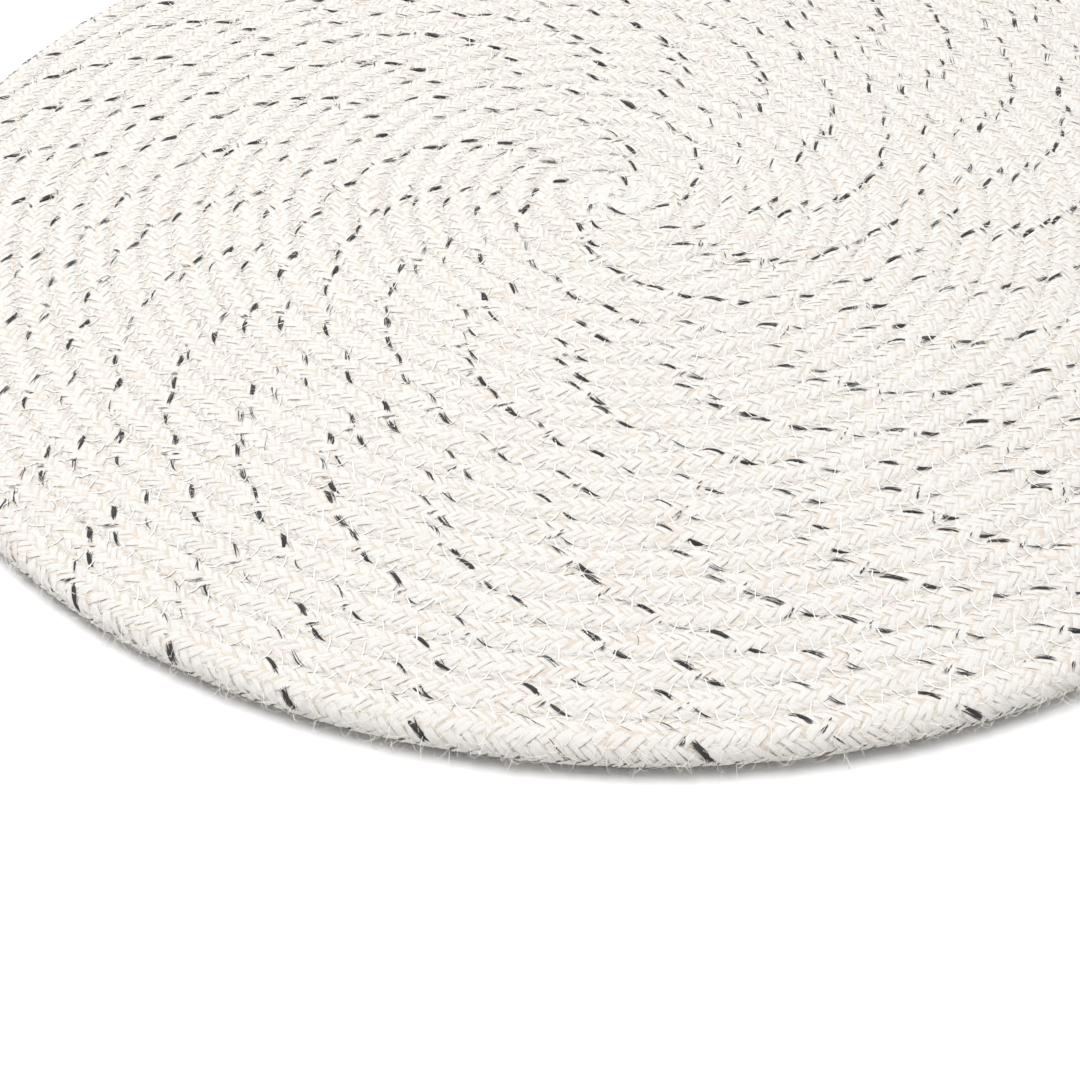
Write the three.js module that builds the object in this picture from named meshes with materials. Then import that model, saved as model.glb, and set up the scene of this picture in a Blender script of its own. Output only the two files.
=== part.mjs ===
// Round fabric placemat: one braided cord laid in a flat spiral, each turn joined to the next.
// Millimetres, +Z up, underside on z = 0, centred on its bounding box.
import * as THREE from "three";

// Driving dimensions
const cordPitch = 7.8; // radius gained in one turn
const cordHeight = 7.4;
const turnsToEnd = 23.753; // turns from the centre to the outer end of the cord
const coilTurn = 0.58; // share of a turn by which the whole coil is turned
const topGroove = 1.7; // depth of the groove between turns, seen from above
const underGroove = 1.3; // depth of the groove between turns, underneath
const innerShoulder = 0.28; // where the crown of a turn starts, as a share of the pitch
const outerShoulder = 0.72;
const rimBulge = 0.8; // how far the free side of the last turn swells past the pitch
const rimTop = 4.9; // height of the upper edge of the free side
const rimUnder = 2.3; // height of the lower edge of the free side
const endTaper = 0.13; // share of a turn over which the outer end narrows
const endWidth = 0.4; // width left at the outer end
const endHeight = 0.85; // height left at the outer end

const fullTurn = 2 * Math.PI;
const endAngle = turnsToEnd * fullTurn;

// Facets in a turn: a small turn needs few, a wide one more.
function stepsPerTurn(turn) {
  if (turn < 4) return 12;
  if (turn < 9) return 24;
  return 48;
}

// Angles from one value to another, spaced for the turn they fall in.
function anglesBetween(from, to) {
  const angles = [from];
  let angle = from;
  while (angle < to - 1e-6) {
    const step = fullTurn / stepsPerTurn(Math.floor(angle / fullTurn + 1e-6));
    angle = Math.min((Math.floor(angle / step + 1e-6) + 1) * step, to);
    angles.push(angle);
  }
  return angles;
}

// How far the outer end has narrowed at an angle: 0 along the cord, 1 at its end.
function narrowing(angle) {
  const start = endAngle - endTaper * fullTurn;
  return THREE.MathUtils.smoothstep(angle, start, endAngle);
}

function cordWidth(angle) {
  return cordPitch * (1 - (1 - endWidth) * narrowing(angle));
}

function heightShare(angle) {
  return 1 - (1 - endHeight) * narrowing(angle);
}

function innerRadius(angle) {
  return (cordPitch * angle) / fullTurn;
}

// Points of the surface, and the triangles between them
const points = [];
const triangles = [];

function addPoint(angle, radius, height) {
  const azimuth = angle + coilTurn * fullTurn;
  points.push(radius * Math.cos(azimuth), radius * Math.sin(azimuth), height);
  return points.length / 3 - 1;
}

function addTriangle(a, b, c, facesUp) {
  if (facesUp) triangles.push(a, b, c);
  else triangles.push(a, c, b);
}

// A line of points that runs along the cord
function lineAlong(angles, radiusAt, heightAt) {
  return angles.map((angle) => ({
    angle,
    point: addPoint(angle, radiusAt(angle), heightAt(angle)),
  }));
}

// The part of a line between two angles, read one turn back when it is an outer edge
function stretch(line, from, to, turnBack) {
  return line
    .filter((p) => p.angle >= from - 1e-6 && p.angle <= to + 1e-6)
    .map((p) => ({ angle: p.angle - turnBack, point: p.point }));
}

// Joins two lines with a strip of triangles: the inner one first.
function joinLines(inner, outer, facesUp) {
  let i = 0;
  let o = 0;
  while (i < inner.length - 1 || o < outer.length - 1) {
    const innerNext = i < inner.length - 1 ? inner[i + 1].angle : Infinity;
    const outerNext = o < outer.length - 1 ? outer[o + 1].angle : Infinity;
    if (outerNext <= innerNext + 1e-6) {
      addTriangle(inner[i].point, outer[o].point, outer[o + 1].point, facesUp);
      o += 1;
    } else {
      addTriangle(inner[i].point, outer[o].point, inner[i + 1].point, facesUp);
      i += 1;
    }
  }
}

// The grooves run one turn past the end of the cord, where they become its free side.
const lastAngle = endAngle + fullTurn;
const grooveAngles = anglesBetween(0, endAngle).concat(anglesBetween(endAngle, lastAngle).slice(1));
const cordAngles = anglesBetween(0, endAngle);

// A short run from groove to free side where the outer end lies against the turn before
function freeShare(angle) {
  return THREE.MathUtils.smoothstep(angle, endAngle, endAngle + 0.06 * fullTurn);
}

function edgeRadius(angle) {
  if (angle <= endAngle) return innerRadius(angle);
  const before = angle - fullTurn;
  return innerRadius(before) + cordWidth(before) + rimBulge * freeShare(angle) * (1 - narrowing(before));
}

function edgeHeight(grooveHeight, rimHeight) {
  return (angle) => {
    if (angle <= endAngle) return grooveHeight;
    const shape = THREE.MathUtils.lerp(grooveHeight, rimHeight, freeShare(angle));
    return shape * heightShare(angle - fullTurn);
  };
}

function shoulderRadius(share) {
  return (angle) => innerRadius(angle) + share * cordWidth(angle);
}

const crownHeight = (angle) => cordHeight * heightShare(angle);
const onTable = () => 0;

const topEdges = lineAlong(grooveAngles, edgeRadius, edgeHeight(cordHeight - topGroove, rimTop));
const underEdges = lineAlong(grooveAngles, edgeRadius, edgeHeight(underGroove, rimUnder));
const topInner = lineAlong(cordAngles, shoulderRadius(innerShoulder), crownHeight);
const topOuter = lineAlong(cordAngles, shoulderRadius(outerShoulder), crownHeight);
const underInner = lineAlong(cordAngles, shoulderRadius(innerShoulder), onTable);
const underOuter = lineAlong(cordAngles, shoulderRadius(outerShoulder), onTable);

// The cord: groove, crown and groove above, and the same below
function clothSide(edges, inner, outer, facesUp) {
  joinLines(stretch(edges, 0, endAngle, 0), inner, facesUp);
  joinLines(inner, outer, facesUp);
  joinLines(outer, stretch(edges, fullTurn, lastAngle, fullTurn), facesUp);
}
clothSide(topEdges, topInner, topOuter, true);
clothSide(underEdges, underInner, underOuter, false);

// The middle, inside the first turn
function closeMiddle(edges, inner, outer, facesUp) {
  const ring = stretch(edges, 0, fullTurn, 0).map((p) => p.point);
  const loop = ring.concat(outer[0].point, inner[0].point);
  for (let i = 1; i < loop.length - 1; i += 1) {
    addTriangle(loop[0], loop[i], loop[i + 1], facesUp);
  }
}
closeMiddle(topEdges, topInner, topOuter, true);
closeMiddle(underEdges, underInner, underOuter, false);

// The free side of the last turn
const topRim = stretch(topEdges, endAngle, lastAngle, 0);
const underRim = stretch(underEdges, endAngle, lastAngle, 0);
joinLines(topRim, underRim, true);

// The cut face at the outer end of the cord
function lastPoint(line) {
  return line[line.length - 1].point;
}
const endLoop = [
  topRim[0].point,
  lastPoint(topInner),
  lastPoint(topOuter),
  lastPoint(topRim),
  lastPoint(underRim),
  lastPoint(underOuter),
  lastPoint(underInner),
  underRim[0].point,
];
for (let i = 1; i < endLoop.length - 1; i += 1) {
  addTriangle(endLoop[0], endLoop[i], endLoop[i + 1], true);
}

const geometry = new THREE.BufferGeometry();
geometry.setAttribute("position", new THREE.Float32BufferAttribute(points, 3));
geometry.setIndex(triangles);
geometry.computeBoundingBox();
const middle = geometry.boundingBox.getCenter(new THREE.Vector3());
geometry.translate(-middle.x, -middle.y, 0);
geometry.computeVertexNormals();

const cotton = new THREE.MeshStandardMaterial({ color: 0xede8df, roughness: 0.95, metalness: 0 });
const mat = new THREE.Mesh(geometry, cotton);
mat.name = "coiled_mat";

const part = new THREE.Group();
part.name = "fabric_placemat";
part.add(mat);

export default part;
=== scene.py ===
# Round placemat: one braided cotton cord, coiled flat and sewn turn to turn
import math
import bpy
import numpy as np
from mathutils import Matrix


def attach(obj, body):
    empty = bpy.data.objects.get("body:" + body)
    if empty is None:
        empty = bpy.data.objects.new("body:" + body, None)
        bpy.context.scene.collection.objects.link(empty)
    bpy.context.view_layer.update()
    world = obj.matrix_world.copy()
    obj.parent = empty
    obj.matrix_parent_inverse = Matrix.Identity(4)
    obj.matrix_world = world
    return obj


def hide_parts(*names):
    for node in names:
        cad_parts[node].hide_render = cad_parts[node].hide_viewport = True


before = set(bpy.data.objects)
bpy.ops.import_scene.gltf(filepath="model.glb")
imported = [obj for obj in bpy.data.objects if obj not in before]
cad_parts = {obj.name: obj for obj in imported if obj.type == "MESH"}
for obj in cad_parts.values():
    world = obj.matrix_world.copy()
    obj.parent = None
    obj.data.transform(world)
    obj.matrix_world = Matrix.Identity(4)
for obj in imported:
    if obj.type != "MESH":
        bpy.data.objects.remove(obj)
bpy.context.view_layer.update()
rng = np.random.default_rng(11)

# The coil, in millimetres, as the solid has it
PITCH = 7.8  # radius gained in one turn
HEIGHT = 7.4
TURNS = 23.753  # from the centre to the outer end of the cord
COIL_TURN = 0.58  # share of a turn by which the whole coil is turned
CENTRE_X = -1.9496  # centre of the spiral, from the middle of the mat
CENTRE_Y = -1.23
RIM_BULGE = 0.8  # how far the free side of the last turn swells past the pitch
RIM_UNDERCUT = 1.5  # how far the lower half of the free side is drawn up
END_TAPER = 0.13  # share of a turn over which the outer end narrows
END_WIDTH = 0.14  # share of the width left at the outer end
END_HEIGHT = 0.78  # share of the height left at the outer end
TIP_START = -0.75  # where the inner tip starts, in turns

# The cord's section, in millimetres
PRESSED_POWER = 2.6  # squareness of a turn between two others
FREE_POWER = 2.15  # squareness of the free side
SIDE_GAP = 0.1  # between the section and the middle of the groove
GROOVE_DROP = 0.7  # depth of the groove between turns, under the braid
GROOVE_POWER = 2.4

# The body that the braid lies on, in millimetres
CORE_STEPS = 96  # facets in a turn
CORE_LIFT = 0.03
CORE_TOP_GROOVE = HEIGHT - 0.72
CORE_TOP_RIM = 4.4
CORE_TOP_MIDDLE = HEIGHT - 0.4
CORE_UNDER_GROOVE = 1.2
CORE_UNDER_RIM = 3.2
CORE_UNDER_MIDDLE = 0.6
CORE_RIM_INSET = 0.4  # how far the body stays inside the free side
CORE_RISE = 0.01  # share of a turn over which a groove becomes the free side
CORE_UNDER_AHEAD = 0.012  # share of a turn by which it does so earlier underneath
MIDDLE_RADIUS = 9  # where the paler middle of the body ends; outside it the body takes the deep colour, painted shade in the gaps of the braid

# The braid: eight yarns each way, every yarn over two and under two; millimetres
LEAD = 26.4  # length of cord in which a yarn goes once round
COLUMN_TURN = 0.05  # share of the girth by which the braid is turned
YARNS = 8
STRANDS = 2  # strands in a yarn
YARN_RISE = 0.3
YARN_SINK = 0.12
STRAND_CROWN = 0.17
FLOAT_HALF_LENGTH = 3.05
FLOAT_HALF_WIDTH = 1.14
FLOAT_POWER = 2.6  # how squarely a float arches
DRIFT = 0.03  # how far the braid turns to and fro along the cord, as a share of the girth
DRIFT_SPAN = 160
BRAID_PARTS = 3  # lengths that each way of the braid is cut into
SEEN_GRID = (4, 3)  # points along and across a strand
UNDER_GRID = (3, 2)
DARK_GRID = (7, 3)
DARK_UNDER_GRID = (3, 3)

# The charcoal yarn's flecks
FULL_SHARE = 0.5  # share of its floats that show as whole yarn
FLECK_REACH = 1.25  # reach of a dark filament, in half lengths of a float
FLECK_FILAMENTS = 9
DOT_FILAMENTS = 5
FILAMENT_ROWS = 5

# The sewing thread, in millimetres
STITCH_STEP = 3.6
STITCH_REACH = 1.85
STITCH_LEAN = 0.22  # in steps
THREAD_HALF_WIDTH = 0.135
THREAD_CROWN = 0.1
STITCH_SHARES = np.array([-1.1, -0.95, 0, 0.95, 1.1])
STITCH_DROPS = np.array([0.95, 0.2, 0.62, 0.2, 0.95])  # below the top of the mat
STITCH_SHARES_UNDER = np.array([-1, 0, 1])
STITCH_HEIGHTS_UNDER = np.array([0.4, 0.6, 0.4])

# The floor's sweep and the light, in metres
FLOOR_RADII = np.array([0.001, 2.5, 3.0, 3.5, 4.0, 4.5, 4.8, 4.9])
FLOOR_HEIGHTS = np.array([0, 0, 0, 0.05, 0.22, 0.6, 1.2, 2.0])
FLOOR_COLUMNS = 97
SKY_LOW = 0.05
SKY_HIGH = 0.925
SKY_RANGE = (0.25, 0.9)  # heights between which the sky brightens
LAMP_POWER = 15.0
LAMP_SIZE = 1.3
LAMP_PLACE = (-0.25, 0.1, 1.2)

# The camera, from the way the turns of the coil close up with distance
LENS_MM = 59.07
CAMERA_PITCH = 43.8
CAMERA_PLACE = (-0.0225, -0.4015, 0.2646)

TURN = 2 * math.pi
END_ANGLE = TURNS * TURN
START_ANGLE = TIP_START * TURN
LAST_TURN = END_ANGLE - TURN
MM = 0.001


# The coil
def smoothstep(x, low, high):
    t = np.clip((x - low) / (high - low), 0, 1)
    return t * t * (3 - 2 * t)


def narrowing(angle):
    return smoothstep(angle, END_ANGLE - END_TAPER * TURN, END_ANGLE)


def cord_width(angle):
    """Full along the coil, narrower at the outer end and at the inner tip, which fills the middle."""
    return PITCH * (1 - (1 - END_WIDTH) * narrowing(angle)) * (1 + np.minimum(angle, 0) / TURN)


def inner_radius(angle):
    return PITCH * np.maximum(angle, 0) / TURN


def height_share(angle):
    return 1 - (1 - END_HEIGHT) * narrowing(angle)


def free_share(angle):
    """1 where the cord's outer side is free, 0 where another turn lies against it."""
    return smoothstep(angle, END_ANGLE - 1.04 * TURN, LAST_TURN)


def length_at(angle):
    """Length along the cord's middle, negative on the inner tip."""
    share = 4 * math.pi if angle > 0 else 8 * math.pi
    return PITCH * (angle * angle / share + angle / 2)


def angle_at(length):
    on_coil = TURN * (np.sqrt(0.25 + np.maximum(length, 0) / (math.pi * PITCH)) - 0.5)
    on_tip = TURN * (np.sqrt(np.maximum(1 + 2 * np.minimum(length, 0) / (math.pi * PITCH), 0.02)) - 1)
    return on_coil + on_tip


CORD_LENGTH = length_at(END_ANGLE)

# The cord's section over its girth: 0 on top, a quarter on the outer side
HALF_WIDTH = PITCH / 2 - SIDE_GAP
HALF_HEIGHT = HEIGHT / 2 - YARN_RISE
girth_share = np.linspace(0, 1, 401)


def section_table(power):
    """Places and normals evenly spaced round a section, and its girth."""
    around = np.linspace(0, TURN, 2881)
    x = HALF_WIDTH * np.sign(np.sin(around)) * np.abs(np.sin(around)) ** (2 / power)
    z = HALF_HEIGHT * np.sign(np.cos(around)) * np.abs(np.cos(around)) ** (2 / power)
    walked = np.concatenate([[0], np.cumsum(np.hypot(np.diff(x), np.diff(z)))])
    x = np.interp(girth_share * walked[-1], walked, x)
    z = np.interp(girth_share * walked[-1], walked, z)
    normal_x = -np.gradient(z)
    normal_z = np.gradient(x)
    size = np.hypot(normal_x, normal_z)
    return np.stack([x, z, normal_x / size, normal_z / size]), walked[-1]


def pressed_flat(section):
    """The same section with its top and underside pressed to shallow domes."""
    x = section[0]
    face = np.where(np.cos(TURN * girth_share) > 0, 1.0, -1.0)
    drop = GROOVE_DROP * np.abs(x / HALF_WIDTH) ** GROOVE_POWER
    slope = GROOVE_POWER * drop / np.where(np.abs(x) < 1e-6, 1e-6, x)
    size = np.hypot(slope, 1)
    return np.stack([x, face * (HALF_HEIGHT - drop), slope / size, face / size])


def drawn_up(section):
    """The same section with the lower half of its outer side drawn up."""
    undercut = RIM_UNDERCUT * np.sqrt(np.maximum(section[0], 0) / HALF_WIDTH)
    section[1] += undercut * np.maximum(-section[1], 0) / HALF_HEIGHT
    return section


round_section, GIRTH = section_table(PRESSED_POWER)
pressed_section = pressed_flat(round_section)
free_section = drawn_up(section_table(FREE_POWER)[0])
YARN_SLOPE = math.atan2(GIRTH, LEAD)


def on_coil(angle, radius, height):
    azimuth = angle + COIL_TURN * TURN
    x = CENTRE_X + radius * np.cos(azimuth)
    y = CENTRE_Y + radius * np.sin(azimuth)
    return np.stack(np.broadcast_arrays(x, y, height), axis=-1)


def on_cord(angle, share, lift):
    """Points on the cord, in millimetres: angle along the coil, share of its girth, height over it."""
    share = np.mod(share, 1)
    free = free_share(angle) * (share < 0.5)
    pressed_at = [np.interp(share, girth_share, row) for row in pressed_section]
    free_at = [np.interp(share, girth_share, row) for row in free_section]
    x, z, nx, nz = [p + (f - p) * free for p, f in zip(pressed_at, free_at)]
    x = x * (1 + (RIM_BULGE / HALF_WIDTH) * free)
    width = cord_width(angle)
    radius = inner_radius(angle) + width / 2 + (x + lift * nx) * width / PITCH
    height = (HEIGHT / 2 + z + lift * nz) * height_share(angle)
    return on_coil(angle, radius, height)


def drift(length):
    """A smooth random turn of the braid along the cord, as a share of its girth."""
    local = np.random.default_rng(5)
    knots = np.arange(-2 * DRIFT_SPAN, CORD_LENGTH + 3 * DRIFT_SPAN, DRIFT_SPAN)
    values = local.normal(0, DRIFT, len(knots))
    return np.interp(length, knots, np.convolve(values, [0.25, 0.5, 0.25], "same"))


# Meshes from arrays
def make_mesh(name, points, faces, material, uv=None, values=None):
    """An object from arrays: points in millimetres, faces of one size each."""
    mesh = bpy.data.meshes.new(name)
    corners = faces.shape[1]
    mesh.vertices.add(len(points))
    mesh.vertices.foreach_set("co", (points * MM).astype(np.float32).ravel())
    mesh.loops.add(faces.size)
    mesh.loops.foreach_set("vertex_index", faces.astype(np.int32).ravel())
    mesh.polygons.add(len(faces))
    mesh.polygons.foreach_set("loop_start", np.arange(0, faces.size, corners, dtype=np.int32))
    mesh.update(calc_edges=True)
    mesh.polygons.foreach_set("use_smooth", np.ones(len(faces), dtype=bool))
    if uv is not None:
        layer = mesh.uv_layers.new(name="along_yarn")
        layer.data.foreach_set("uv", uv[faces.ravel()].astype(np.float32).ravel())
    for key, value in (values or {}).items():
        attribute = mesh.attributes.new(key, "FLOAT", "POINT")
        attribute.data.foreach_set("value", value.astype(np.float32))
    mesh.materials.append(material)
    made = bpy.data.objects.new(name, mesh)
    bpy.context.scene.collection.objects.link(made)
    return made


def grid_faces(count, rows, columns):
    """Quads of many grids, each of rows by columns points."""
    row, column = np.meshgrid(np.arange(rows - 1), np.arange(columns - 1), indexing="ij")
    first = (row * columns + column).ravel()
    quad = np.stack([first, first + columns, first + columns + 1, first + 1], axis=1)
    starts = np.arange(count) * rows * columns
    return (starts[:, None, None] + quad[None]).reshape(-1, 4)


def ribbon_mesh(name, paths, half_width, material, crown=0.0):
    """Many thin ribbons along paths of equal point count, flat or crowned along their middle."""
    count, points = paths.shape[:2]
    tangent = np.gradient(paths, axis=1)
    across = np.cross(tangent, [[[0, 0, 1.0]]])
    across /= np.linalg.norm(across, axis=2, keepdims=True) + 1e-9
    wide = across * half_width[..., None]
    if crown:
        lines = [paths - wide, paths + [0, 0, crown], paths + wide]
    else:
        lines = [paths - wide, paths + wide]
    corners = np.stack(lines, axis=2)
    return make_mesh(name, corners.reshape(-1, 3), grid_faces(count, points, len(lines)), material)


# Materials
def principled(name):
    material = bpy.data.materials.new(name)
    material.use_nodes = True
    return material, material.node_tree, material.node_tree.nodes["Principled BSDF"]


def mix_by_attribute(tree, attribute, first, second):
    """A node that goes from a colour socket to a plain colour as a mesh attribute rises."""
    amount = tree.nodes.new("ShaderNodeAttribute")
    amount.attribute_name = attribute
    mix = tree.nodes.new("ShaderNodeMix")
    mix.data_type = "RGBA"
    mix.inputs["B"].default_value = (*second, 1)
    tree.links.new(amount.outputs["Fac"], mix.inputs["Factor"])
    tree.links.new(first, mix.inputs["A"])
    return mix.outputs["Result"]


def yarn_material(name, deep, light, stray, low, rough, sheen):
    """Soft spun cotton: strands along the yarn, paler crowns and darker dives as painted highlight and shade,
    uneven tint, painted shade on the lower side of the rim.
    """
    material, tree, shader = principled(name)
    nodes = tree.nodes
    link = tree.links.new
    uv = nodes.new("ShaderNodeUVMap")
    uv.uv_map = "along_yarn"
    stretch = nodes.new("ShaderNodeVectorMath")
    stretch.operation = "MULTIPLY"
    stretch.inputs[1].default_value = (0.6, 6.5, 1)
    link(uv.outputs["UV"], stretch.inputs[0])
    strands = nodes.new("ShaderNodeTexNoise")
    strands.inputs["Scale"].default_value = 1
    strands.inputs["Detail"].default_value = 3
    strands.inputs["Roughness"].default_value = 0.65
    link(stretch.outputs[0], strands.inputs["Vector"])
    # Painted highlight and shade: the crown attribute pales the tops of the floats and darkens their ends and
    # edges, where strands dive under; the noise is the strands' own uneven colour.
    depth = nodes.new("ShaderNodeAttribute")
    depth.attribute_name = "crown"
    shade = nodes.new("ShaderNodeMath")
    shade.operation = "MULTIPLY_ADD"
    shade.inputs[1].default_value = 0.9
    link(strands.outputs["Fac"], shade.inputs[0])
    link(depth.outputs["Fac"], shade.inputs[2])
    ramp = nodes.new("ShaderNodeValToRGB")
    ramp.color_ramp.elements[0].position = 0.35
    ramp.color_ramp.elements[0].color = (*deep, 1)
    ramp.color_ramp.elements[1].position = 1.05
    ramp.color_ramp.elements[1].color = (*light, 1)
    link(shade.outputs[0], ramp.inputs["Fac"])
    tinted = mix_by_attribute(tree, "tint", ramp.outputs["Color"], stray)
    # Painted shade: the low attribute darkens the lower side of the rim's last turn towards the low colour,
    # in place of the shadow under it.
    shaded = mix_by_attribute(tree, "low", tinted, low)
    link(shaded, shader.inputs["Base Color"])
    bump = nodes.new("ShaderNodeBump")
    bump.inputs["Strength"].default_value = 0.5
    bump.inputs["Distance"].default_value = 0.00035
    link(strands.outputs["Fac"], bump.inputs["Height"])
    link(bump.outputs["Normal"], shader.inputs["Normal"])
    shader.inputs["Roughness"].default_value = rough
    shader.inputs["Sheen Weight"].default_value = sheen
    shader.inputs["Sheen Roughness"].default_value = 0.5
    shader.inputs["Specular IOR Level"].default_value = 0.2
    return material


def fibre_material(name, colour, rough):
    """Thread or lint of one colour, a little uneven."""
    material, tree, shader = principled(name)
    shade = tree.nodes.new("ShaderNodeTexNoise")
    shade.inputs["Scale"].default_value = 900
    ramp = tree.nodes.new("ShaderNodeValToRGB")
    ramp.color_ramp.elements[0].color = (*[c * 0.86 for c in colour], 1)
    ramp.color_ramp.elements[1].color = (*colour, 1)
    place = tree.nodes.new("ShaderNodeTexCoord")
    tree.links.new(place.outputs["Object"], shade.inputs["Vector"])
    tree.links.new(shade.outputs["Fac"], ramp.inputs["Fac"])
    tree.links.new(ramp.outputs["Color"], shader.inputs["Base Color"])
    shader.inputs["Roughness"].default_value = rough
    shader.inputs["Sheen Weight"].default_value = 0.2
    return material


# Colour of the painted shade on the lower side of the rim.
RIM_PAINTED_SHADE = (0.13, 0.112, 0.096)
pale_yarn = yarn_material(
    "pale_cotton", deep=(0.67, 0.605, 0.535), light=(0.757, 0.744, 0.722), stray=(0.64, 0.49, 0.40),
    low=RIM_PAINTED_SHADE, rough=0.9, sheen=0.1,
)
dark_yarn = yarn_material(
    "charcoal_cotton", deep=(0.010, 0.009, 0.011), light=(0.04, 0.036, 0.04), stray=(0.35, 0.33, 0.33),
    low=RIM_PAINTED_SHADE, rough=0.85, sheen=0.05,
)
thread_white = fibre_material("white_thread", (0.98, 0.98, 0.97), 0.55)
fuzz_pale = fibre_material("loose_fibre", (0.92, 0.88, 0.82), 0.8)
fuzz_dark = fibre_material("dark_fibre", (0.03, 0.027, 0.03), 0.8)
# Grey for the fibres on the rim's lower side: painted shade.
fuzz_shade_grey = fibre_material("shade_grey_fibre", (0.34, 0.31, 0.29), 0.8)

# The filled body of the coil, which the braid lies on
core_shares = np.array([-0.17, -0.08, 0.0, 0.08, 0.17])
core_shares_under = np.array([-0.33, -0.42, 0.5, 0.42, 0.33])
core_turn = TURN / CORE_STEPS
core_angles = np.append(np.arange(0, END_ANGLE, core_turn), END_ANGLE)
edge_angles = np.append(np.arange(0, END_ANGLE + TURN, core_turn), END_ANGLE + TURN)


def build_core():
    """A closed sheet: rows of section points along the cord, each turn sharing its groove with the next."""
    count = len(core_angles)
    last_edge = len(edge_angles) - 1
    width = len(core_shares)
    points = []
    faces = []

    def add(rows):
        start = sum(len(p) for p in points)
        points.append(rows.reshape(-1, 3))
        return start

    def side(shares, groove_height, rim_height, middle_height, flip, rise_start):
        """One face of the body. The grooves run one turn past the cord's end, as its free side."""
        before = edge_angles - TURN
        free = smoothstep(edge_angles, rise_start, rise_start + CORE_RISE * TURN)
        swell = (RIM_BULGE - CORE_RIM_INSET) * free * (1 - narrowing(before))
        rim = PITCH * before / TURN + cord_width(before) + swell
        radius = np.where(edge_angles > END_ANGLE, rim, PITCH * edge_angles / TURN)
        height = groove_height + (rim_height - groove_height) * free
        height = np.where(edge_angles < TURN, middle_height, height)
        edge_start = add(on_coil(edge_angles, radius, height))
        lift = np.full((count, width), CORE_LIFT)
        body_start = add(on_cord(core_angles[:, None], shares[None], lift))

        def index(step, column):
            if column == 0:
                return edge_start + step
            if column == width + 1:
                return edge_start + min(step + CORE_STEPS, last_edge)
            return body_start + step * width + column - 1

        for step in range(count - 1):
            for column in range(width + 1):
                a = index(step, column)
                b = index(step, column + 1)
                c = index(step + 1, column + 1)
                d = index(step + 1, column)
                faces.append((a, b, c, d) if flip else (a, d, c, b))
        return edge_start, index

    top_edge, top_index = side(
        core_shares, CORE_TOP_GROOVE, CORE_TOP_RIM, CORE_TOP_MIDDLE, True, END_ANGLE,
    )
    under_edge, under_index = side(
        core_shares_under, CORE_UNDER_GROOVE, CORE_UNDER_RIM, CORE_UNDER_MIDDLE, False,
        END_ANGLE - CORE_UNDER_AHEAD * TURN,
    )
    for step in range(count - 1, last_edge):
        faces.append((top_edge + step, under_edge + step, under_edge + step + 1, top_edge + step + 1))
    end_top = [top_index(count - 1, c) for c in range(width + 2)]
    end_under = [under_index(count - 1, c) for c in range(width + 2)]
    for column in range(width + 1):
        faces.append((end_top[column], end_under[column], end_under[column + 1], end_top[column + 1]))
    middle_faces = []
    for edge_start, index, flip in ((top_edge, top_index, True), (under_edge, under_index, False)):
        loop = [edge_start + k for k in range(CORE_STEPS + 1)]
        loop += [index(0, c) for c in range(width, 0, -1)]
        for k in range(1, len(loop) - 1):
            triangle = (loop[0], loop[k], loop[k + 1])
            middle_faces.append(triangle if flip else triangle[::-1])
    quads = np.array(faces)
    triangles = np.concatenate([quads[:, [0, 1, 2]], quads[:, [0, 2, 3]], np.array(middle_faces)])
    return np.concatenate(points), triangles


core_points, core_faces = build_core()
# The body takes the deep colour, which paints the shade in the gaps between the floats, and a paler one
# within MIDDLE_RADIUS of the centre.
from_middle = np.hypot(core_points[:, 0] - CENTRE_X, core_points[:, 1] - CENTRE_Y)
core = make_mesh(
    "coiled_core", core_points, core_faces, pale_yarn,
    uv=core_points[:, :2], values={"crown": np.where(from_middle < MIDDLE_RADIUS, 0.45, -0.1)},
)


# The braid's floats: each is the stretch of a yarn that lies on top of two others
def floats(way):
    """Places of all floats that run one way: length along the cord, share of its girth, yarn number."""
    first = -1 / 8 if way > 0 else 0.0
    first = first + COLUMN_TURN
    lengths, shares, yarns = [], [], []
    for column in range(4):
        share = first + column / 4
        share = share - 1 if share > 0.5 else share
        count = np.arange(-YARNS, int(CORD_LENGTH / LEAD * YARNS) + YARNS)
        length = LEAD * (way * (share - COLUMN_TURN + 1 / 32) + count / YARNS)
        keep = (length > length_at(START_ANGLE)) & (length < CORD_LENGTH - 1.5)
        lengths.append(length[keep])
        shares.append(np.full(keep.sum(), share))
        yarns.append(np.mod(-way * count[keep], YARNS))
    return np.concatenate(lengths), np.concatenate(shares), np.concatenate(yarns)


def lay(way, length, share, slope, run, off, lift):
    """Points of strips on the cord: run along the yarn, off to its side, lift over the cord."""
    each = (slice(None), None, None)
    along = run * np.cos(slope)[each] - off * np.sin(slope)[each]
    round_cord = way * (run * np.sin(slope)[each] + off * np.cos(slope)[each])
    points = on_cord(angle_at(length[each] + along), share[each] + round_cord / GIRTH, lift)
    points[..., 2] = np.maximum(points[..., 2], 0.02)
    return points


def strip_faces(way, count, rows, columns):
    faces = grid_faces(count, rows, columns)
    return faces[:, ::-1] if way > 0 else faces


def split_strands(length, share, chosen, strands):
    """The chosen floats as strands: length, share and strand number of each."""
    number = np.tile(np.arange(strands), chosen.sum())
    return np.repeat(length[chosen], strands), np.repeat(share[chosen], strands), number


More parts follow.
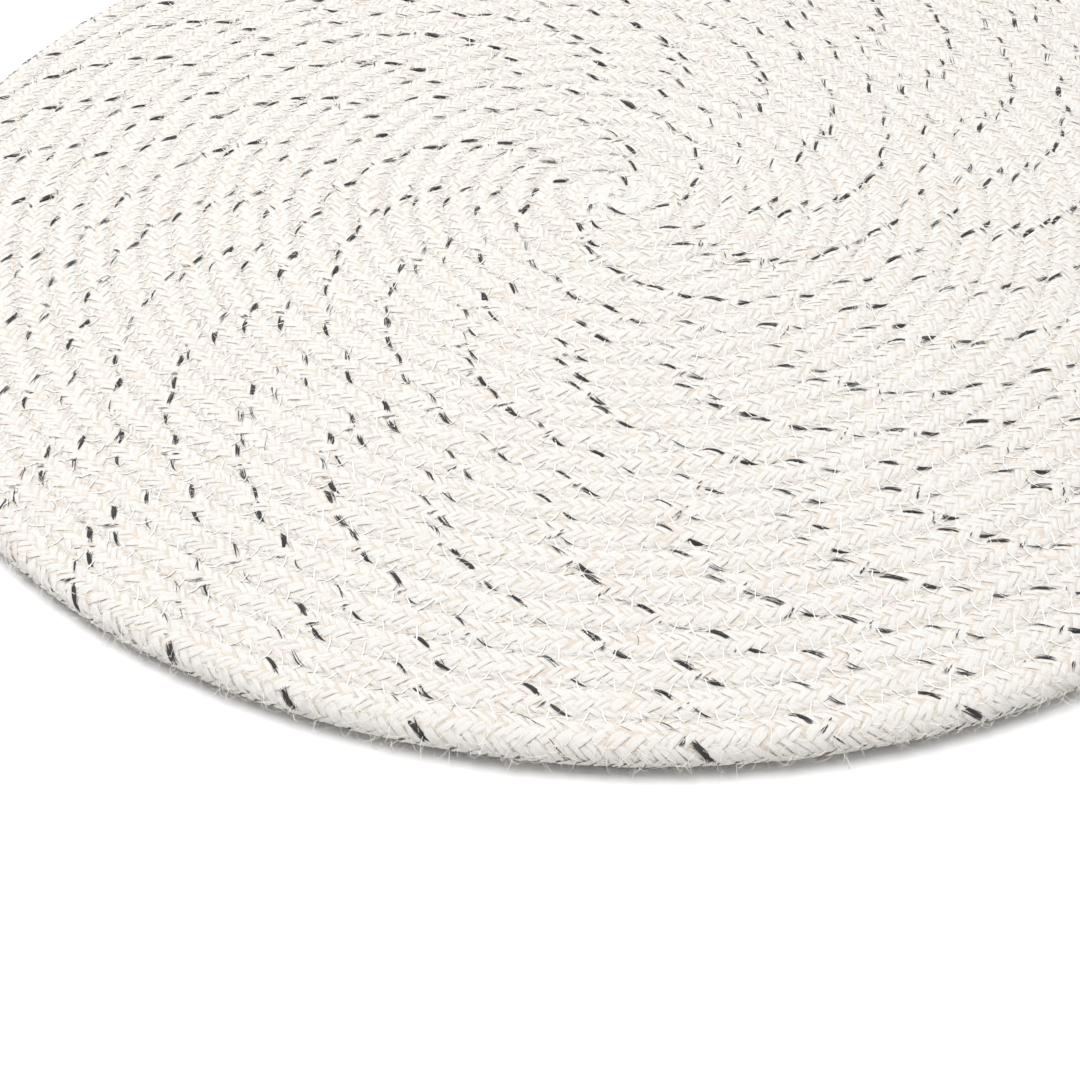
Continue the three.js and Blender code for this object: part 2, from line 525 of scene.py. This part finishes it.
def strand_mesh(name, way, place, grid, material, tint, wide=1.0, point=0.2, long=1.0):
    """Arched strips, one for each strand of a float, whose ends dive under the yarns that cross them."""
    length, share, strand, strands = place
    rows, columns = grid
    count = len(length)
    each = (slice(None), None, None)
    slope = YARN_SLOPE + rng.normal(0, 0.09, count)
    size = rng.normal(1, 0.07, count)
    half = FLOAT_HALF_WIDTH / strands * rng.normal(1.12, 0.1, count) * wide
    beside = (strand - (strands - 1) / 2) * 2 * FLOAT_HALF_WIDTH / strands + rng.normal(0, 0.08, count)
    length = length + rng.normal(0, 0.24, count)
    share = share + drift(length) + rng.normal(0, 0.16, count) / GIRTH
    t = np.linspace(-1, 1, rows)[None, :, None]
    q = np.linspace(-1, 1, columns)[None, None, :]
    bow = rng.normal(0, 0.1, count)[each]
    run = t * FLOAT_HALF_LENGTH * (size * long)[each] + 0 * q
    off = beside[each] * (1 - 0.25 * t * t) + q * half[each] * (1 - point * t * t) + bow * (1 - t * t)
    rise = YARN_RISE + YARN_SINK + rng.normal(0, 0.07, count)[each]
    arch = 1 - np.abs(t) ** FLOAT_POWER
    lift = -YARN_SINK + rise * arch - STRAND_CROWN * q * q
    points = lay(way, length, share, slope, run, off, lift)
    # On the rim's last turn, points below 1.3 to 3.4 mm get the low mask of painted shade.
    on_rim = free_share(angle_at(length))[each] * (share > 0)[each]
    shift = rng.uniform(0, 500, (count, 2))
    uv = np.stack([run + shift[:, 0, None, None], off + shift[:, 1, None, None]], axis=-1)
    # Crown: high on the arch's top and a strand's middle, low at its ends and edges; it drives the painted
    # highlight and shade.
    crown = arch * (1 - 0.6 * q * q) + np.zeros((count, 1, 1))
    values = {
        "crown": 0.17 + 0.52 * crown.reshape(-1),
        "tint": np.repeat(tint, rows * columns),
        "low": (0.95 * on_rim * (1 - smoothstep(points[..., 2], 1.3, 3.4))).reshape(-1),
    }
    faces = strip_faces(way, count, rows, columns)
    return make_mesh(name, points.reshape(-1, 3), faces, material, uv=uv.reshape(-1, 2), values=values)


def frayed_mesh(name, way, length, share, fullness, most, reach, spread):
    """Dark filaments along each fleck, pointed at both ends: many on a full fleck, few on a faint one."""
    rank = np.tile(np.arange(most), len(length))
    keep = rank < np.repeat(fullness * most, most)
    share = share + drift(length)
    length = length + rng.normal(0, 0.3, len(length))
    length = np.repeat(length, most)[keep]
    share = np.repeat(share, most)[keep]
    count = len(length)
    each = (slice(None), None, None)
    longest = FLECK_REACH * FLOAT_HALF_LENGTH
    slope = YARN_SLOPE + rng.normal(0, 0.1, count)
    half = FLOAT_HALF_LENGTH * rng.uniform(*reach, count)
    middle = rng.normal(0, 0.35, count) * (longest - half)
    aside = rng.normal(-FLOAT_HALF_WIDTH / 2, spread, count)
    t = np.linspace(-1, 1, FILAMENT_ROWS)[None, :, None]
    q = np.array([-1, 1])[None, None, :]
    width = rng.uniform(0.07, 0.15, count)[each] * (1.05 - t * t)
    run = middle[each] + half[each] * t + 0 * q
    off = aside[each] + rng.normal(0, 0.16, count)[each] * t * t + q * width
    arch = 1 - np.minimum(np.abs(run / longest), 1.1) ** FLOAT_POWER
    lift = (YARN_RISE + YARN_SINK) * arch - YARN_SINK + rng.uniform(0.0, 0.16, count)[each]
    points = lay(way, length, share, slope, run, off, lift)
    return make_mesh(name, points.reshape(-1, 3), strip_faces(way, count, FILAMENT_ROWS, 2), fuzz_dark)


def uneven_tint(count):
    """How far each strand strays in colour: most hardly, a few much."""
    return np.clip(rng.gamma(0.5, 0.06, count), 0, 0.5)


def pale_pieces(way, letter, length, share, whole_black, black, seen, under):
    """The pale yarn of one way, cut into lengths, and its floats underneath."""
    made = []
    cuts = np.linspace(0, CORD_LENGTH, BRAID_PARTS + 1)
    cuts[0] = length_at(START_ANGLE)
    for part in range(BRAID_PARTS):
        here = seen & (length >= cuts[part]) & (length < cuts[part + 1])
        along, round_share, strand = split_strands(length, share, here, STRANDS)
        pale = ~(np.repeat(whole_black[here], STRANDS) & (strand == 0))
        place = (along[pale], round_share[pale], strand[pale], STRANDS)
        name = f"braid_{letter}_{part + 1}"
        made.append(strand_mesh(name, way, place, SEEN_GRID, pale_yarn, uneven_tint(pale.sum())))
    place = (*split_strands(length, share, under & ~black, 1), 1)
    name = f"braid_{letter}_under"
    made.append(strand_mesh(name, way, place, UNDER_GRID, pale_yarn, uneven_tint(len(place[0]))))
    return made


def dark_pieces(way, length, share, full, black, seen, under):
    """The charcoal yarn: whole floats, floats underneath, frayed filaments, and dots between the floats."""
    place = (*split_strands(length, share, seen & black & full, 1), STRANDS)
    count = len(place[0])
    faded = np.clip(rng.gamma(0.7, 0.12, count), 0, 0.7)
    wide = rng.uniform(0.45, 0.95, count)
    long = rng.uniform(1.0, 1.45, count)
    whole = strand_mesh("dark_yarn", way, place, DARK_GRID, dark_yarn, faded, wide, 0.8, long)
    place = (*split_strands(length, share, under & black, 1), 1)
    even = np.zeros(len(place[0]))
    below = strand_mesh("dark_yarn_under", way, place, DARK_UNDER_GRID, dark_yarn, even)
    dark = seen & black
    fullness = np.where(full, rng.uniform(0.4, 1, len(length)), rng.uniform(0.1, 0.7, len(length)))
    fray = frayed_mesh(
        "dark_fray", way, length[dark], share[dark], fullness[dark],
        FLECK_FILAMENTS, (0.35, FLECK_REACH), 0.3,
    )
    between = black & (np.abs(share + 1 / 8) < 0.22)
    dot_length = length[between] + LEAD / 8
    dot_fullness = rng.uniform(-0.6, 1, len(dot_length))
    dots = frayed_mesh(
        "dark_dots", -way, dot_length, share[between] + 1 / 8, dot_fullness,
        DOT_FILAMENTS, (0.12, 0.34), 0.25,
    )
    return [whole, below, fray, dots]


pieces = []
for way, letter in ((1, "a"), (-1, "b")):
    length, share, yarn = floats(way)
    black = (yarn == 0) & (way > 0)
    full = rng.uniform(0, 1, len(length)) < FULL_SHARE
    outer_turn = length > length_at(END_ANGLE - 1.02 * TURN)
    seen = (np.abs(share) < 0.2) | (outer_turn & (share > 0) & (share < 0.45))
    under = (np.abs(share) > 0.3) & ~seen
    pieces += pale_pieces(way, letter, length, share, black & full, black, seen, under)
    if way > 0:
        pieces += dark_pieces(way, length, share, full, black, seen, under)


# The zig-zag sewing across each groove
def stitches(name, top):
    seam_length = np.arange(length_at(3.5), length_at(END_ANGLE), STITCH_STEP)
    seam_angle = TURN * np.sqrt(seam_length / (math.pi * PITCH))
    seam_angle = seam_angle[seam_angle < END_ANGLE - 0.02 * TURN]
    count = len(seam_angle)
    swing = np.where(np.arange(count) % 2 == 0, 1, -1)
    reach = STITCH_REACH * rng.normal(1, 0.22, (count, 2))
    slant = rng.normal(0, 0.45, count)
    groove = PITCH * seam_angle / TURN
    lean = STITCH_LEAN * STITCH_STEP / np.maximum(groove, 6)
    shares = STITCH_SHARES if top else STITCH_SHARES_UNDER
    offset = np.where(shares[None] < 0, reach[:, :1], reach[:, 1:]) * shares[None]
    angle = seam_angle[:, None] + (swing * lean + slant / groove)[:, None] * shares[None]
    radius = PITCH * angle / TURN + offset
    if top:
        height = HEIGHT - STITCH_DROPS[None] + rng.normal(0, 0.06, (count, 1))
    else:
        height = STITCH_HEIGHTS_UNDER[None] + np.zeros((count, 1))
    width = THREAD_HALF_WIDTH * rng.uniform(0.8, 1.2, (count, 1)) * np.ones(len(shares))
    crown = THREAD_CROWN if top else 0.0
    return ribbon_mesh(name, on_coil(angle, radius, height), width, thread_white, crown)


pieces.append(stitches("sewing_thread", True))
pieces.append(stitches("sewing_thread_under", False))


# Loose fibres
def fibres(name, count, material, start, girth, lengths, stand, half_width, rows=5):
    """Curled hairs strewn over a stretch of the girth, from an angle of the coil to the cord's end."""
    length = rng.uniform(length_at(start), CORD_LENGTH - 4, count)
    share = rng.uniform(*girth, count)
    reach = rng.uniform(*lengths, count)
    heading = rng.uniform(0, TURN, count)
    curl = rng.normal(0, 1.3, count)
    t = np.linspace(0, 1, rows)[None]
    bend = heading[:, None] + curl[:, None] * t
    step = reach[:, None] / (rows - 1)
    along = np.cumsum(np.cos(bend) * step, axis=1)
    aside = np.cumsum(np.sin(bend) * step, axis=1)
    high = rng.gamma(2.0, stand / 2, count)[:, None]
    wave = np.sin(math.pi * np.clip(t * rng.uniform(0.5, 1.0, count)[:, None], 0, 1))
    lift = YARN_RISE - 0.2 + high * wave
    angle = angle_at(length[:, None] + along)
    paths = on_cord(angle, share[:, None] + aside / GIRTH, lift)
    paths[..., 2] = np.clip(paths[..., 2], 0.1, HEIGHT + 2.2)
    taper = half_width * np.linspace(1, 0.4, rows)[None] * np.ones((count, 1))
    return ribbon_mesh(name, paths, taper, material)


pieces.append(fibres(
    "loose_fibres", 32000, fuzz_pale, start=3.0,
    girth=(-0.24, 0.24), lengths=(1.5, 5), stand=0.22, half_width=0.06, rows=4,
))
pieces.append(fibres(
    "stray_hairs", 6000, thread_white, start=3.0,
    girth=(-0.22, 0.22), lengths=(3, 8), stand=0.8, half_width=0.045,
))
pieces.append(fibres(
    "rim_fibres", 2600, fuzz_pale, start=LAST_TURN,
    girth=(0.05, 0.42), lengths=(1.5, 6), stand=1.4, half_width=0.05,
))
# Grey fibres hanging on the rim's lower side; their grey is painted shade, giving the shadow under the rim
# its fibrous look.
pieces.append(fibres(
    "rim_shade_fibres", 2200, fuzz_shade_grey, start=LAST_TURN,
    girth=(0.3, 0.47), lengths=(1.2, 4), stand=0.5, half_width=0.05,
))
pieces.append(fibres(
    "dark_fibres", 160, fuzz_dark, start=3.0,
    girth=(-0.2, 0.2), lengths=(1.5, 5), stand=0.3, half_width=0.06,
))

# What each piece belongs to
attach(core, "root")
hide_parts("coiled_mat")
for piece in pieces:
    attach(piece, "root")

# A white floor that sweeps up far from the mat
floor_white, floor_tree, floor_shader = principled("white_table")
floor_shader.inputs["Base Color"].default_value = (0.95, 0.95, 0.95, 1)
floor_shader.inputs["Roughness"].default_value = 0.7
floor_turn = np.linspace(0, TURN, FLOOR_COLUMNS)
floor_radius = FLOOR_RADII[:, None] / MM
floor_height = FLOOR_HEIGHTS[:, None] / MM
floor_points = np.stack(np.broadcast_arrays(
    floor_radius * np.cos(floor_turn), floor_radius * np.sin(floor_turn), floor_height,
), axis=-1)
floor_faces = grid_faces(1, len(FLOOR_RADII), FLOOR_COLUMNS)
floor = make_mesh("floor", floor_points.reshape(-1, 3), floor_faces, floor_white)

# A pale sky that is bright overhead and dim towards the table
world = bpy.data.worlds.new("studio")
world.use_nodes = True
sky_nodes = world.node_tree.nodes
sky_link = world.node_tree.links.new
sky_place = sky_nodes.new("ShaderNodeTexCoord")
sky_split = sky_nodes.new("ShaderNodeSeparateXYZ")
sky_link(sky_place.outputs["Generated"], sky_split.inputs["Vector"])
sky_shade = sky_nodes.new("ShaderNodeMapRange")
sky_shade.inputs["From Min"].default_value = SKY_RANGE[0]
sky_shade.inputs["From Max"].default_value = SKY_RANGE[1]
sky_shade.inputs["To Min"].default_value = SKY_LOW
sky_shade.inputs["To Max"].default_value = SKY_HIGH
sky_link(sky_split.outputs["Z"], sky_shade.inputs["Value"])
sky = sky_nodes["Background"]
sky.inputs["Color"].default_value = (1, 0.995, 0.985, 1)
sky_link(sky_shade.outputs["Result"], sky.inputs["Strength"])
bpy.context.scene.world = world

# One large soft lamp over the mat, aimed at its middle
lamp_data = bpy.data.lights.new("overhead", "AREA")
lamp_data.shape = "DISK"
lamp_data.size = LAMP_SIZE
lamp_data.energy = LAMP_POWER
lamp = bpy.data.objects.new("overhead", lamp_data)
lamp.location = LAMP_PLACE
to_middle = -np.array(LAMP_PLACE)
yaw = math.atan2(to_middle[0], -to_middle[1])
tilt = math.atan2(math.hypot(to_middle[0], to_middle[1]), -to_middle[2])
lamp.rotation_euler = (-tilt, 0, yaw)
bpy.context.scene.collection.objects.link(lamp)

camera_data = bpy.data.cameras.new("camera")
camera_data.lens = LENS_MM
camera_data.sensor_width = 36
camera_data.clip_start = 0.01
camera = bpy.data.objects.new("camera", camera_data)
camera.location = CAMERA_PLACE
camera.rotation_euler = (math.radians(90 - CAMERA_PITCH), 0, 0)
bpy.context.scene.collection.objects.link(camera)
bpy.context.scene.camera = camera
bpy.context.scene.view_settings.view_transform = "Standard"
